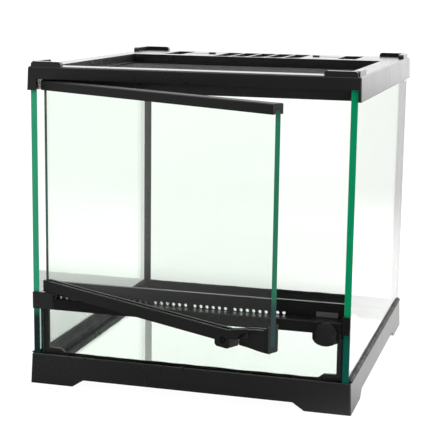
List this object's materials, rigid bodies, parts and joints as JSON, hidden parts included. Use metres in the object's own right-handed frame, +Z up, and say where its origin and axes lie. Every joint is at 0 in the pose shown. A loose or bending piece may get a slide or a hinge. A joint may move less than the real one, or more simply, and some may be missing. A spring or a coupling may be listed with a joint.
{
  "type": "terrarium cabinet",
  "caption": "Square glass terrarium in black plastic frames, with a side-hinged front door and its lock, a vent strip, a screen lid and cable inlets in the rear deck.",
  "frame": {"origin": "on the floor, under the middle of the whole assembly as it stands with its door partly open", "axes": "+Z up, -Y towards the front with the door, +X to the right as seen from the front"},
  "size_m": [0.31, 0.4556, 0.3063],
  "materials": {
    "black_plastic": "fine satin moulding",
    "float_glass": "polished, ground edges",
    "silicone": "smooth cured bead",
    "steel": "dull plated",
    "screen_wire": "dark coated wire",
    "bush_plastic": "plain"
  },
  "bodies": {
    "cabinet": {"base_frame_front": "black_plastic", "base_frame_rear": "black_plastic", "top_frame_front": "black_plastic", "top_frame_rear": "black_plastic", "left_glass": "float_glass", "right_glass": "float_glass", "back_glass": "float_glass", "front_lower_glass": "float_glass", "floor_glass": "float_glass", "rear_seal_right": "silicone", "rear_seal_left": "silicone", "front_seal_right": "silicone", "front_seal_left": "silicone", "floor_seal": "silicone", "vent_strip": "black_plastic", "door_catch_plate": "steel", "strip_cap_left": "black_plastic", "strip_cap_right": "black_plastic", "lock_housing": "black_plastic", "hinge_bush_upper": "bush_plastic", "hinge_bush_lower": "bush_plastic", "rear_vent_mesh": "screen_wire"},
    "door": {"door_glass": "float_glass", "door_top_rail": "black_plastic", "door_bottom_rail": "black_plastic", "latch_stud": "steel", "hinge_pin_upper": "steel", "hinge_pin_lower": "steel"},
    "lock": {"lock_knob": "black_plastic", "lock_tongue": "steel"},
    "lid": {"lid_frame": "black_plastic", "lid_mesh": "screen_wire"},
    "inlet_right": {"inlet_slider_right": "black_plastic"},
    "inlet_left": {"inlet_slider_left": "black_plastic"}
  },
  "joints": [
    {"name": "door_hinge", "type": "hinge", "parent": "cabinet", "child": "door", "pos_m": [-0.1357, -0.09123, 0.19], "axis": [0, 0, -1], "range_deg": [-28, 82]},
    {"name": "lock_turn", "type": "hinge", "parent": "cabinet", "child": "lock", "pos_m": [0.1308, -0.09823, 0.075], "axis": [0, 1, 0], "range_deg": [0, 44]},
    {"name": "lid_lift", "type": "slide", "parent": "cabinet", "child": "lid", "axis": [0, 0, 1], "range_m": [0, 0.08]},
    {"name": "inlet_right_slide", "type": "slide", "parent": "cabinet", "child": "inlet_right", "axis": [1, 0, 0], "range_m": [0, 0.022]},
    {"name": "inlet_left_slide", "type": "slide", "parent": "cabinet", "child": "inlet_left", "axis": [-1, 0, 0], "range_m": [0, 0.022]}
  ]
}
